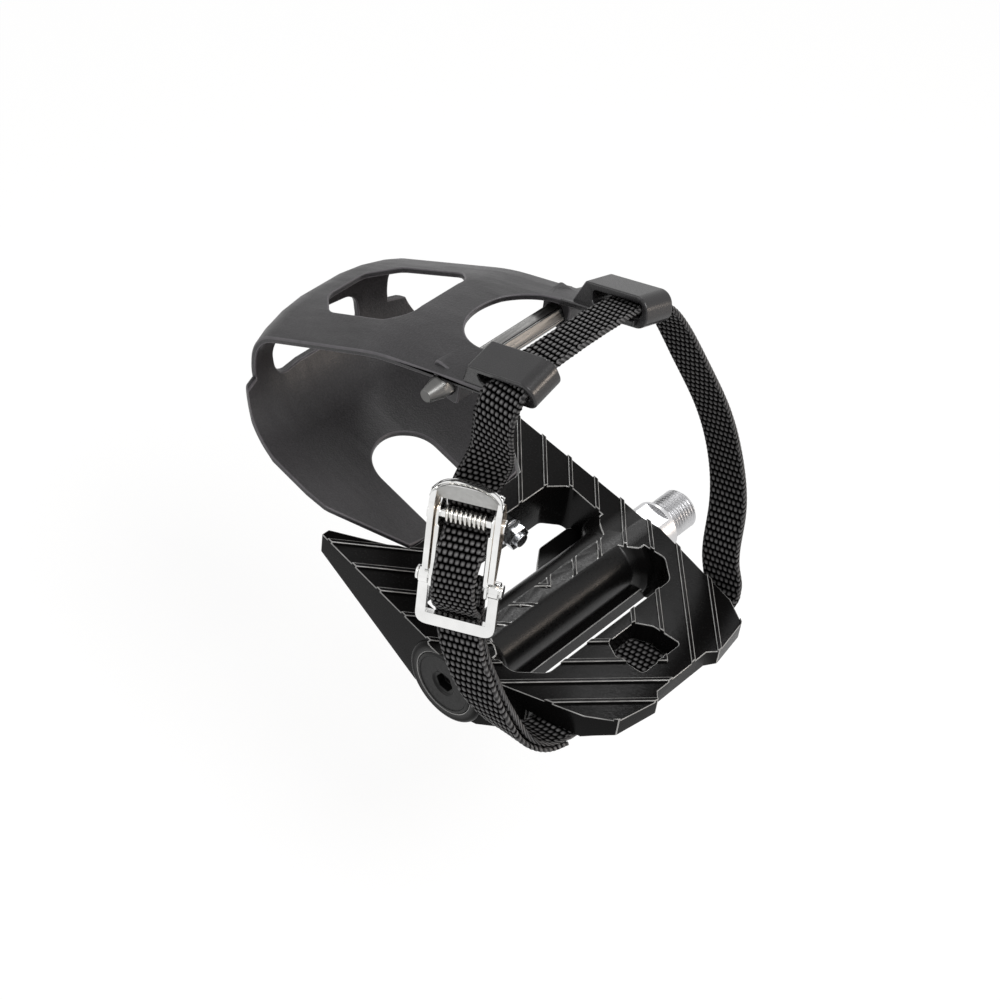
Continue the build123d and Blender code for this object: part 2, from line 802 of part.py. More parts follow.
fold = [
    on_buckle(pin_b - 5.0, wrap, (0, 0, -1)),
    on_buckle(pin_b, wrap, (0, 0, -1)),
    on_buckle(pin_b + 0.7 * wrap, 0.7 * wrap, (0, -0.7, -0.7)),
    on_buckle(pin_b + wrap, 0, (0, -1, 0)),
    on_buckle(pin_b + 0.7 * wrap, -0.7 * wrap, (0, -0.7, 0.7)),
    on_buckle(pin_b, -wrap, (0, 0, 1)),
    on_buckle(pin_b - 6.0, -wrap - 1.8),
]
below = []
for share in (0.5, 0, -0.5, -0.9):
    below.append((place(strap_line, side_edge * share, under), Vector(0, 0, -1)))
lower_even = evened(lower_run, 14)
bow = half_width + 8.6
seat_x = guide_x + guide_seat * cos(crown_rake)
seat_z = guide_z - guide_seat * sin(crown_rake)


def climbing(x_share, v, z_share, facing):
    """A station of the inboard run, at its shares of the way from the plates to the guide."""
    x = strap_line + x_share * (seat_x - strap_line)
    return place(x, v, z_share * seat_z), Vector(*facing)


inboard_run = [
    (place(strap_line - 0.1, -side_edge + 0.2, under), Vector(0, -0.2, -1)),
    (place(strap_line - 0.2, -side_edge - 2.8, under + 1.2), Vector(0, -0.7, -0.7)),
    (place(strap_line, -side_edge - 4.6, under + 5.4), Vector(0, -1, -0.4)),
    climbing(0.075, -bow + 8.2, 0.155, (0, -1, -0.25)),
    climbing(0.209, -bow + 2.6, 0.290, (0, -1, -0.15)),
    climbing(0.367, -bow, 0.446, (0, -1, 0)),
    climbing(0.558, -bow + 2.3, 0.617, (0.1, -1, 0.2)),
    climbing(0.766, -bow + 8.6, 0.788, (0.2, -0.95, 0.4)),
    climbing(0.93, -band_half - 8.0, 0.925, (0.25, -0.8, 0.65)),
]
top_run = [
    in_guide(-1, 4.0, lift),
    in_guide(-1, -4.0, lift),
    (place(seat_x + lift * sin(crown_rake), -9.0, seat_z + lift + 2.2), guide_planes[1].z_dir),
    (place(seat_x + lift * sin(crown_rake), 9.0, seat_z + lift + 2.2), guide_planes[0].z_dir),
    in_guide(1, -4.0, lift),
    in_guide(1, 4.0, lift),
]
into_buckle = on_buckle(lever_pin_height + 15.0, back_run + 0.4, a=2.4)
off_guide = place(seat_x + 0.8, band_half + 4.4, seat_z - 9.0)
drop_run = [
    (place(seat_x + 0.9, band_half + 2.6, seat_z - 2.4), Vector(0.1, 0.8, 0.5)),
    (off_guide, Vector(0, 1, 0.15)),
    (off_guide * 0.4 + into_buckle[0] * 0.6 + buckle.x_dir * 1.4, Vector(-0.25, 1, 0.15)),
    into_buckle,
    on_buckle(lever_pin_height + 7.0, back_run),
    on_buckle(lever_pin_height + 1.0, back_run),
]
front_run = [
    on_buckle(lever_pin_height + 0.4, back_run),
    on_buckle(lever_pin_height - 4.0, back_run + 1.6, (0, 0.5, 0.9)),
    on_buckle(lever_pin_height - 7.0, back_run + 4.8, (0, 0.9, 0.5)),
    on_buckle(lever_pin_height - 10.5, back_run + 8.2, (0, 0.5, 0.9)),
    on_buckle(lever_pin_height - 17.0, 4.9),
    on_buckle(pin_b - 3.0, 5.0),
    on_buckle(8.4, 3.7, (0, -0.5, 0.9)),
    on_buckle(5.6, 1.2, (0, -0.7, 0.7)),
    on_buckle(3.4, -1.3, (0, -0.7, 0.7)),
    on_buckle(0.8, -3.0, (0, -0.4, 0.9)),
]


def webbing(stations):
    """Cross-sections of the webbing at each station, square to its run."""
    points = [point for point, facing in stations]
    slices = []
    for index, (point, facing) in enumerate(stations):
        ahead = points[min(index + 1, len(points) - 1)]
        behind = points[max(index - 1, 0)]
        run = (ahead - behind).normalized()
        slices.append(Plane(origin=point, x_dir=run.cross(facing), z_dir=run))
    return slices


with BuildPart() as strap:
    for cut in webbing(evened(fold, 16) + lower_even + below + inboard_run + top_run + drop_run):
        with BuildSketch(cut):
            Rectangle(strap_width, strap_thick)
    loft()
strap.part.label = "strap"
export_step(strap.part, "parts/strap.step")

tail_end = raised(lower_even[1:], strap_thick + layer_gap, 0.06)
with BuildPart() as strap_tail:
    for cut in webbing(evened(front_run + tail_end, 44)):
        with BuildSketch(cut):
            Rectangle(strap_width, strap_thick)
    loft()
strap_tail.part.label = "strap_tail"
export_step(strap_tail.part, "parts/strap_tail.step")

# Buckle. Sketches on the flank plane run along the buckle's height and out from its face.
frame_outer = frame_inner + frame_wall
leg_gap = 0.2
leg_thick = 1.4
leg_outer = frame_outer + leg_gap + leg_thick


def flank(a):
    return Plane(
        origin=buckle.from_local_coords(Vector(a, 0, 0)),
        x_dir=buckle.y_dir,
        z_dir=buckle.x_dir,
    )


with BuildPart() as buckle_frame:
    for hand in (1, -1):
        with BuildSketch(flank(hand * frame_inner)) as cheek:
            with BuildLine():
                Polyline(
                    (12.0, 3.0),
                    (12.0, -3.0),
                    (20.0, -7.6),
                    (44.0, -7.6),
                    (44.0, -4.6),
                    (40.4, 3.0),
                    close=True,
                )
            make_face()
            fillet(cheek.vertices(), 2.0)
        extrude(amount=hand * frame_wall)
    with BuildSketch(flank(-frame_inner - 0.5 * frame_wall)):
        with Locations((33.0, -6.9)):
            Rectangle(22.0, 1.2)
    extrude(amount=2 * frame_inner + frame_wall)
    with BuildSketch(flank(-2 * frame_outer)):
        with Locations((lever_pin_height, 0), (loop_pin_height, 0)):
            Circle(pin_radius)
    extrude(amount=4 * frame_outer, mode=Mode.SUBTRACT)
buckle_frame.part.label = "buckle_frame"
export_step(buckle_frame.part, "parts/buckle_frame.step")

with BuildPart() as thumb_tab:
    with BuildSketch(flank(-leg_outer)):
        with BuildLine():
            Polyline((44.6, -1.5), (50.6, 7.4), (49.2, 8.4), (43.2, -0.5), close=True)
        make_face()
    extrude(amount=2 * leg_outer)
    tab_foot = buckle.from_local_coords(Vector(0, 40.0, 0))
    with BuildSketch(Plane(origin=tab_foot, x_dir=buckle.x_dir, z_dir=buckle.y_dir)):
        with Locations((0, 0.5)):
            RectangleRounded(2 * leg_outer, 17.5, 5.0)
    extrude(amount=20.0, mode=Mode.INTERSECT)

with BuildPart() as buckle_lever:
    add(thumb_tab.part)
    for hand in (1, -1):
        with BuildSketch(flank(hand * (frame_outer + leg_gap))) as arm:
            with BuildLine():
                Polyline(
                    (19.0, 1.2),
                    (36.0, -2.6),
                    (40.0, -2.6),
                    (45.6, -0.6),
                    (47.4, 2.6),
                    (44.0, 4.2),
                    (19.0, 4.2),
                    close=True,
                )
            make_face()
            fillet(arm.vertices(), 0.9)
        extrude(amount=hand * leg_thick)
    with BuildSketch(flank(-2 * frame_outer)):
        with Locations((lever_pin_height, 0)):
            Circle(pin_radius + running_fit)
    extrude(amount=4 * frame_outer, mode=Mode.SUBTRACT)
buckle_lever.part.label = "buckle_lever"
export_step(buckle_lever.part, "parts/buckle_lever.step")

with BuildPart() as lever_pin:
    with BuildSketch(flank(-leg_outer - 0.3)):
        with Locations((lever_pin_height, 0)):
            Circle(pin_radius)
    extrude(amount=2 * leg_outer + 0.6)
    for hand in (1, -1):
        with BuildSketch(flank(hand * (leg_outer + 0.3))):
            with Locations((lever_pin_height, 0)):
                Circle(2.3)
        extrude(amount=hand * 0.9)
lever_pin.part.label = "lever_pin"
export_step(lever_pin.part, "parts/lever_pin.step")

coil_wire = 0.42
coil_radius = pin_radius + 0.4 + coil_wire
coil_half = frame_inner - 1.6
coil_turns = 9
with BuildLine() as coil:
    Helix(
        pitch=2 * coil_half / coil_turns,
        height=2 * coil_half,
        radius=coil_radius,
        center=buckle.from_local_coords(Vector(-coil_half, lever_pin_height, 0)),
        direction=buckle.x_dir,
    )
with BuildPart() as lever_spring:
    with BuildSketch(Plane(origin=coil.line @ 0, z_dir=coil.line % 0)):
        Circle(coil_wire)
    sweep(path=coil.line, is_frenet=True)
lever_spring.part.label = "lever_spring"
export_step(lever_spring.part, "parts/lever_spring.step")

loop_half = frame_outer + leg_gap + loop_bar
with BuildPart() as loop_pin:
    with BuildSketch(flank(-loop_half - loop_bar - 0.2)):
        with Locations((loop_pin_height, 0)):
            Circle(pin_radius)
    extrude(amount=2 * (loop_half + loop_bar + 0.2))
    for hand in (1, -1):
        with BuildSketch(flank(hand * (loop_half + loop_bar + 0.2))):
            with Locations((loop_pin_height, 0)):
                Circle(2.2)
        extrude(amount=hand * 0.8)
loop_pin.part.label = "loop_pin"
export_step(loop_pin.part, "parts/loop_pin.step")

with BuildPart() as strap_loop:
    with BuildLine(buckle) as loop_path:
        FilletPolyline(
            (-loop_half, loop_pin_height),
            (-loop_half, 0),
            (loop_half, 0),
            (loop_half, loop_pin_height),
            radius=3.6,
        )
    with BuildSketch(Plane(origin=loop_path.line @ 0, x_dir=buckle.x_dir, z_dir=loop_path.line % 0)):
        RectangleRounded(2 * loop_bar, 1.5 * loop_bar, 0.5)
    sweep(path=loop_path.line)
    for hand in (1, -1):
        with BuildSketch(flank(hand * (loop_half - 0.9 * loop_bar))):
            with Locations((loop_pin_height, 0)):
                Circle(2.8)
        extrude(amount=hand * 1.8 * loop_bar)
    with BuildSketch(flank(-3 * frame_outer)):
        with Locations((loop_pin_height, 0)):
            Circle(pin_radius)
    extrude(amount=6 * frame_outer, mode=Mode.SUBTRACT)
strap_loop.part.label = "strap_loop"
export_step(strap_loop.part, "parts/strap_loop.step")
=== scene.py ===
"""Looks of the toe clip pedal: paint, moulding, webbing, plating and the studio around them."""

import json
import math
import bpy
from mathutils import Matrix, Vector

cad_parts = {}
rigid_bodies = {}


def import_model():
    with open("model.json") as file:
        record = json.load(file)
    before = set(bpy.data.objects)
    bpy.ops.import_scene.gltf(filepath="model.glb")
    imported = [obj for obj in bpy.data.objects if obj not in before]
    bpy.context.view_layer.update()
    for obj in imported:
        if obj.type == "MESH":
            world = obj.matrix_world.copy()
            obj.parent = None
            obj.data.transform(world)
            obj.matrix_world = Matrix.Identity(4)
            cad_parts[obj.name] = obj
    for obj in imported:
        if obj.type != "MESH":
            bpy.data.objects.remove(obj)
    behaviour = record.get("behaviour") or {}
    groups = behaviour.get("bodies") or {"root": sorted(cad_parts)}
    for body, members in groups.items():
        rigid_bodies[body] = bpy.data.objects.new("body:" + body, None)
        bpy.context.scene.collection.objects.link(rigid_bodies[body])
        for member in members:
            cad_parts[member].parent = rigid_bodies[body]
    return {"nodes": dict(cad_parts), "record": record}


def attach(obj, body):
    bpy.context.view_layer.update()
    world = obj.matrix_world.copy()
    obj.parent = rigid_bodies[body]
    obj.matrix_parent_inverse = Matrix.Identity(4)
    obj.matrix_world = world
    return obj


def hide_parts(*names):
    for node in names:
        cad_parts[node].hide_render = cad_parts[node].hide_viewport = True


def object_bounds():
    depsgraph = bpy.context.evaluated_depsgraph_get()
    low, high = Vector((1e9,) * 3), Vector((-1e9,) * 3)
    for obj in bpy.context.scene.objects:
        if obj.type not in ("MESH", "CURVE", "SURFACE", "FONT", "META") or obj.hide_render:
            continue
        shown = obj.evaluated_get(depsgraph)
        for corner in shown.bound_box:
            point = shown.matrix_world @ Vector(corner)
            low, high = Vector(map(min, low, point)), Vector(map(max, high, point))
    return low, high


bl_info = {
    "name": "Toe Clip Pedal",
    "version": (1, 0, 0),
    "blender": (4, 5, 0),
    "location": "View3D > Sidebar > Pedal",
    "description": "Finishes the toe clip pedal's solids and sets them in a studio",
    "category": "Object",
}

import bmesh
import bpy
import numpy as np
from bpy.props import FloatProperty, FloatVectorProperty, IntProperty, PointerProperty
from mathutils import Matrix, Vector

for leftover in list(bpy.data.objects):
    bpy.data.objects.remove(leftover)

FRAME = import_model()
NODES = FRAME["nodes"]
CAD_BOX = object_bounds()
MM = 0.001
# Points nearer than this are one, in metres
SEAM = 1e-6
# Faces that meet at less than this are one flat, and edges that turn by more than HARD are rounded
FLAT = math.radians(0.4)
HARD = math.radians(28)
# The camera's sensor, in millimetres
SENSOR_WIDTH = 36


# Settings a user would change


class PedalFinishSettings(bpy.types.PropertyGroup):
    """Colours and edge sizes of the rigid pieces."""

    paint_color: FloatVectorProperty(
        name="Paint",
        description="Gloss paint on the pedal body",
        subtype="COLOR",
        default=(0.0035, 0.0033, 0.0033),
    )
    moulding_color: FloatVectorProperty(
        name="Moulding",
        description="Toe clip plastic",
        subtype="COLOR",
        default=(0.0170, 0.0157, 0.0173),
    )
    body_edge: FloatProperty(
        name="Body Edge",
        description="Width of the rounding on the body's edges",
        default=0.27 * MM,
        unit="LENGTH",
    )
    clip_edge: FloatProperty(
        name="Clip Edge",
        description="Width of the rounding on the toe clip's edges",
        default=0.55 * MM,
        unit="LENGTH",
    )
    small_edge: FloatProperty(
        name="Small Edge",
        description="Width of the rounding on buckle and fasteners",
        default=0.25 * MM,
        unit="LENGTH",
    )


class WebbingSettings(bpy.types.PropertyGroup):
    """Weave of the strap."""

    # Float tops: the webbing's own dark colour lightened by a painted highlight
    yarn_and_highlight_color: FloatVectorProperty(
        name="Yarn",
        description="Colour on top of each float",
        subtype="COLOR",
        default=(0.130, 0.126, 0.127),
    )
    # Painted shade in the hollows between the floats
    gap_shade_color: FloatVectorProperty(
        name="Gaps",
        description="Colour between the floats",
        subtype="COLOR",
        default=(0.0006, 0.0006, 0.0006),
    )
    columns: IntProperty(
        name="Columns",
        description="Floats across the strap",
        default=8,
        min=3,
    )
    row_length: FloatProperty(
        name="Row Length",
        description="Length of one float along the strap",
        default=2.1 * MM,
        unit="LENGTH",
    )
    relief: FloatProperty(
        name="Relief",
        description="How far the floats stand out",
        default=0.52 * MM,
        unit="LENGTH",
    )


class StudioSettings(bpy.types.PropertyGroup):
    """Camera and lights."""

    camera_place: FloatVectorProperty(
        name="Camera",
        description="Camera position in the pedal's frame",
        subtype="TRANSLATION",
        default=(-0.2975, 0.4741, 0.5701),
    )
    camera_right: FloatVectorProperty(
        name="Camera Right",
        description="Direction to the right in the picture",
        default=(-0.722317, -0.684349, 0.099626),
    )
    camera_up: FloatVectorProperty(
        name="Camera Up",
        description="Direction upwards in the picture",
        default=(0.544143, -0.473505, 0.692604),
    )
    lens: FloatProperty(
        name="Lens",
        description="Focal length on a 36 mm sensor",
        default=85.28,
    )
    floor_color: FloatVectorProperty(
        name="Floor",
        description="Floor under the pedal",
        subtype="COLOR",
        default=(0.92, 0.92, 0.92),
    )


# Shader helpers


class Tree:
    """Builds the nodes of one node tree."""

    def __init__(self, tree):
        self.tree = tree

    def add(self, kind, **values):
        node = self.tree.nodes.new(kind)
        for key, value in values.items():
            setattr(node, key, value)
        return node

    def link(self, source, target):
        self.tree.links.new(source, target)

    def larger(self, one, two):
        """The larger of two values."""
        node = self.add("ShaderNodeMath", operation="MAXIMUM")
        self.link(one, node.inputs[0])
        self.link(two, node.inputs[1])
        return node.outputs[0]

    def span(self, value, low, high, from_low=0.3, from_high=0.7):
        """Spreads a value from one range over another."""
        node = self.add("ShaderNodeMapRange")
        node.inputs["From Min"].default_value = from_low
        node.inputs["From Max"].default_value = from_high
        node.inputs["To Min"].default_value = low
        node.inputs["To Max"].default_value = high
        self.link(value, node.inputs["Value"])
        return node.outputs["Result"]


class Nodes(Tree):
    """Builds the nodes of one new material."""

    def __init__(self, name):
        self.material = bpy.data.materials.new(name)
        self.material.use_nodes = True
        super().__init__(self.material.node_tree)
        self.shader = self.tree.nodes["Principled BSDF"]

    def feed(self, socket, source):
        """Drives one of the shader's inputs."""
        self.link(source, self.shader.inputs[socket])

    def fix(self, socket, value):
        """Sets one of the shader's inputs."""
        self.shader.inputs[socket].default_value = value

    def noise(self, scale, detail=2.0, roughness=0.5, stretch=(1, 1, 1)):
        place = self.add("ShaderNodeTexCoord")
        stretched = self.add("ShaderNodeMapping")
        stretched.inputs["Scale"].default_value = stretch
        self.link(place.outputs["Object"], stretched.inputs["Vector"])
        noise = self.add("ShaderNodeTexNoise")
        noise.inputs["Scale"].default_value = scale
        noise.inputs["Detail"].default_value = detail
        noise.inputs["Roughness"].default_value = roughness
        self.link(stretched.outputs["Vector"], noise.inputs["Vector"])
        return noise.outputs["Fac"]

    def near_axis(self, inner, outer):
        """One near the spindle axis, nought away from it."""
        place = self.add("ShaderNodeTexCoord")
        across = self.add("ShaderNodeVectorMath", operation="MULTIPLY")
        across.inputs[1].default_value = (1, 0, 1)
        self.link(place.outputs["Object"], across.inputs[0])
        length = self.add("ShaderNodeVectorMath", operation="LENGTH")
        self.link(across.outputs["Vector"], length.inputs[0])
        return self.span(length.outputs["Value"], 1.0, 0.0, inner, outer)

    def colors(self, value, *stops):
        """Colours along a ramp."""
        ramp = self.add("ShaderNodeValToRGB")
        elements = ramp.color_ramp.elements
        while len(elements) < len(stops):
            elements.new(0.5)
        for element, (place, color) in zip(elements, stops):
            element.position = place
            element.color = (*color, 1)
        self.link(value, ramp.inputs["Fac"])
        return ramp.outputs["Color"]

    def mottled(self, value, color, dark, light):
        """One colour, between a darker and a lighter shade of itself."""
        return self.colors(value, (0.3, tinted(color, dark)), (0.7, tinted(color, light)))

    def bump(self, value, strength, distance):
        node = self.add("ShaderNodeBump")
        node.inputs["Strength"].default_value = strength
        node.inputs["Distance"].default_value = distance
        self.link(value, node.inputs["Height"])
        self.feed("Normal", node.outputs["Normal"])


def tinted(color, amount):
    return tuple(channel * amount for channel in color)


def gloss_paint(color):
    """Black stoved paint: a fine sandy grain under the gloss, duller on the turned barrel."""
    barrel_radius, plates_start = 11.6 * MM, 13.4 * MM
    barrel_dulling = 0.08
    nodes = Nodes("Gloss paint")
    grain = nodes.noise(1500, detail=3)
    drift = nodes.noise(60)
    barrel = nodes.near_axis(barrel_radius, plates_start)
    nodes.feed("Base Color", nodes.mottled(drift, color, 0.8, 1.3))
    satin = nodes.add("ShaderNodeMath", operation="MULTIPLY_ADD")
    nodes.link(barrel, satin.inputs[0])
    satin.inputs[1].default_value = barrel_dulling
    nodes.link(nodes.span(grain, 0.18, 0.30), satin.inputs[2])
    nodes.feed("Roughness", satin.outputs[0])
    nodes.feed("Specular IOR Level", nodes.span(barrel, 0.055, 0.26, 0, 1))
    nodes.bump(grain, 0.05, 0.3 * MM)
    return nodes.material


def painted_edge_highlight():
    """Painted highlight on the body's rounded edges: a mottled grey far paler than the paint,
    standing in for the light that catches each edge.
    """
    # Both colours are painted highlight: the first dimmer, the second brighter
    dim_edge_highlight, thin = (0.14, 0.137, 0.133), (0.34, 0.335, 0.325)
    nodes = Nodes("Painted highlight on edges")
    edge_noise = nodes.noise(220, detail=3)
    nodes.feed("Base Color", nodes.colors(edge_noise, (0.25, dim_edge_highlight), (0.70, thin)))
    nodes.feed("Roughness", nodes.span(edge_noise, 0.16, 0.28))
    nodes.fix("Specular IOR Level", 1.0)
    return nodes.material


def charcoal_moulding(color):
    """Fine spark-eroded plastic, with faint rubs along its length."""
    dim, lit = (0.82, 0.82, 0.82), (1.16, 1.15, 1.16)
    nodes = Nodes("Charcoal moulding")
    grain = nodes.noise(1500, detail=3, roughness=0.6)
    cloud = nodes.noise(38, detail=3)
    rubs = nodes.noise(90, detail=4, roughness=0.7, stretch=(0.25, 2.5, 1))
    speckle = nodes.colors(grain, (0.30, tinted(color, 0.55)), (0.72, tinted(color, 1.5)))
    shade = nodes.colors(cloud, (0.3, dim), (0.7, lit))
    mix = nodes.add("ShaderNodeMix", data_type="RGBA", blend_type="MULTIPLY")
    mix.inputs["Factor"].default_value = 1.0
    # A mix of colours takes them at inputs 6 and 7 and gives the result at output 2
    nodes.link(speckle, mix.inputs[6])
    nodes.link(shade, mix.inputs[7])
    nodes.feed("Base Color", mix.outputs[2])
    nodes.feed("Roughness", nodes.span(rubs, 0.38, 0.52))
    nodes.bump(grain, 0.42, 0.25 * MM)
    nodes.fix("Specular IOR Level", 0.44)
    return nodes.material


def moulding_edge_highlight(color):
    """Painted highlight on the toe clip's rounded edges and rims: the moulding's colour made three
    to five times lighter.
    """
    nodes = Nodes("Painted highlight on moulding edges")
    edge_noise = nodes.noise(300, detail=3)
    # Painted highlight: the rims take the moulding colour lightened three to five times
    nodes.feed("Base Color", nodes.mottled(edge_noise, color, 3.0, 4.8))
    nodes.feed("Roughness", nodes.span(edge_noise, 0.36, 0.5))
    return nodes.material


def guide_moulding(color):
    """The strap guides' smoother skin."""
    nodes = Nodes("Guide moulding")
    fine = nodes.noise(1800)
    wear = nodes.noise(160, detail=3)
    nodes.feed("Base Color", nodes.mottled(wear, color, 0.45, 0.70))
    nodes.feed("Roughness", nodes.span(fine, 0.24, 0.36))
    nodes.bump(fine, 0.05, 0.2 * MM)
    return nodes.material


def black_webbing(yarn_and_highlight, gap_shade):
    """Dull black webbing coloured from the height stored on the mesh: painted shade darkens the
    hollows between the floats, and the tops of the floats carry a painted highlight.
    """
    nodes = Nodes("Black webbing")
    height = nodes.add("ShaderNodeAttribute", attribute_name="weave_height").outputs["Fac"]
    fibre = nodes.noise(5200)
    # Painted shade in the hollows, rising to the webbing's colour with a painted highlight on the
    # float tops
    stops = (0.25, gap_shade), (0.65, tinted(yarn_and_highlight, 0.35)), (0.95, yarn_and_highlight)
    nodes.feed("Base Color", nodes.colors(height, *stops))
    nodes.feed("Roughness", nodes.span(fibre, 0.40, 0.58))
    nodes.feed("Specular IOR Level", nodes.span(height, 0.0, 0.5, 0.4, 0.95))
    nodes.bump(fibre, 0.25, 0.08 * MM)
    return nodes.material


def bright_plating(name, color, low, high, stretch=(1, 1, 1), strength=0.03):
    """Plated or turned metal, its roughness between low and high."""
    nodes = Nodes(name)
    smear = nodes.noise(700, detail=3, stretch=stretch)
    stain = nodes.noise(120)
    nodes.feed("Base Color", nodes.mottled(stain, color, 0.9, 1.05))
    nodes.feed("Roughness", nodes.span(smear, low, high))
    nodes.bump(smear, strength, 0.2 * MM)
    nodes.fix("Metallic", 1.0)
    return nodes.material


def black_cap(color):
    """Moulded cap with a fine turned grain."""
    nodes = Nodes("Cap moulding")
    place = nodes.add("ShaderNodeTexCoord")
    rings = nodes.add("ShaderNodeTexWave", wave_type="RINGS", rings_direction="Y")
    rings.inputs["Scale"].default_value = 420
    nodes.link(place.outputs["Object"], rings.inputs["Vector"])
    speck = nodes.noise(900, detail=3)
    nodes.feed("Base Color", nodes.mottled(speck, color, 0.8, 1.4))
    nodes.feed("Roughness", nodes.span(speck, 0.36, 0.5))
    nodes.bump(rings.outputs["Fac"], 0.06, 0.1 * MM)
    nodes.fix("Specular IOR Level", 0.22)
    return nodes.material


def soft_rubber():
    """Dull rubber with a little dust."""
    clean, dusty = (0.01, 0.01, 0.01), (0.024, 0.023, 0.022)
    nodes = Nodes("Seal rubber")
    dust = nodes.noise(500, detail=4)
    nodes.feed("Base Color", nodes.colors(dust, (0.3, clean), (0.7, dusty)))
    nodes.feed("Roughness", nodes.span(dust, 0.6, 0.8))
    nodes.bump(dust, 0.1, 0.1 * MM)
    return nodes.material


# Mesh helpers


def free_normals(mesh):
    """Lets a mesh's normals follow its shape."""
    stored = mesh.attributes.get("custom_normal")
    if stored:
        mesh.attributes.remove(stored)


def dress(node, *materials):
    """Gives a solid its materials, and lets its normals follow its shape."""
    piece = NODES[node]
    piece.data.materials.clear()
    for material in materials:
        piece.data.materials.append(material)
    free_normals(piece.data)
    return piece


def soften(piece, width):
    """Rounds every hard edge of a solid."""
    weld = piece.modifiers.new("Join seams", "WELD")
    weld.merge_threshold = SEAM
    flats = piece.modifiers.new("Merge flats", "DECIMATE")
    flats.decimate_type = "DISSOLVE"
    flats.angle_limit = FLAT
    rounding = piece.modifiers.new("Round edges", "BEVEL")
    rounding.width = width
    rounding.segments = 2
    rounding.limit_method = "ANGLE"
    rounding.angle_limit = HARD
    rounding.use_clamp_overlap = False
    rounding.miter_outer = "MITER_ARC"
    rounding.material = 0
    rounding.harden_normals = True
    for face in piece.data.polygons:
        face.use_smooth = True
    for edge in piece.data.edges:
        edge.use_edge_sharp = False


def round_edges(shape, edges, width, segments, clamp, material):
    """Rounds some edges of a mesh, and splits its faces of more than four corners."""
    bmesh.ops.bevel(
        shape,
        geom=edges,
        offset=width,
        offset_type="OFFSET",
        segments=segments,
        profile=0.5,
        affect="EDGES",
        clamp_overlap=clamp,
        material=material,
        miter_outer="ARC",
    )
    bmesh.ops.triangulate(shape, faces=[face for face in shape.faces if len(face.verts) > 4])


def shaded_piece(name, shape, sharpest, materials):
    """An object from a mesh: edges that turn by more than sharpest stay sharp."""
    mesh = bpy.data.meshes.new(name)
    shape.to_mesh(mesh)
    shape.free()
    free_normals(mesh)
    for material in materials:
        mesh.materials.append(material)
    mesh.set_sharp_from_angle(angle=sharpest)
    piece = bpy.data.objects.new(name, mesh)
    bpy.context.scene.collection.objects.link(piece)
    weighted = piece.modifiers.new("Even shading", "WEIGHTED_NORMAL")
    weighted.keep_sharp = True
    return piece


def finished_copy(node, slot, width, *materials, segments=2, third=None):
    """A copy of a solid whose outward edges are rounded and take the second material, which paints
    a highlight along them.

    Faces for which third is true take the third material.
    """
    shape = bmesh.new()
    shape.from_mesh(NODES[node].data)
    bmesh.ops.remove_doubles(shape, verts=shape.verts, dist=SEAM)
    bmesh.ops.dissolve_limit(shape, angle_limit=FLAT, verts=shape.verts, edges=shape.edges)
    outward = [
        edge
        for edge in shape.edges
        if len(edge.link_faces) == 2 and edge.calc_face_angle_signed() > HARD
    ]
    for face in shape.faces:
        face.material_index = 0
        face.smooth = True
    round_edges(shape, outward, width, segments, clamp=False, material=1)
    for face in shape.faces:
        if third and third(face.calc_center_median()):
            face.material_index = 2
    copy = shaded_piece(node + "_finish", shape, math.radians(40), materials)
    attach(copy, "pedal")
    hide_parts(node)


def corner_lines(node):
    """The strip's four long edges, each as points from one end to the other."""
    solid = bmesh.new()
    solid.from_mesh(NODES[node].data)
    bmesh.ops.remove_doubles(solid, verts=solid.verts, dist=SEAM)
    square = math.radians(50)
    ways = {}
    for edge in solid.edges:
        if len(edge.link_faces) == 2 and edge.calc_face_angle() > square:
            one, two = edge.verts
            ways.setdefault(one, []).append(two)
            ways.setdefault(two, []).append(one)
    corners = [vert for vert, others in ways.items() if len(others) == 3]
    first = corners[0]
    near = sorted(corners, key=lambda vert: (vert.co - first.co).length)[:4]
    lines = []
    for corner in near:
        line = [corner]
        ahead = [vert for vert in ways[corner] if vert not in near]
        while ahead:
            line.append(ahead[0])
            ahead = [vert for vert in ways[ahead[0]] if vert not in line]
            if line[-1] in corners:
                break
        lines.append(np.array([vert.co for vert in line]))
    solid.free()
    return lines


def resampled(line, count):
    """Points at even steps along a polyline."""
    steps = np.linalg.norm(np.diff(line, axis=0), axis=1)
    marks = np.concatenate([[0], np.cumsum(steps)])
    even = np.linspace(0, marks[-1], count)
    return np.stack([np.interp(even, marks, line[:, axis]) for axis in range(3)], axis=1)


def pillow(phase, tight):
    """Height of a row of floats: one rounded bump to each whole step, with gaps between."""
    place = np.abs(2 * (phase - np.floor(phase)) - 1) * tight
    return np.clip(1 - place ** 2.2, 0, 1) ** 0.8


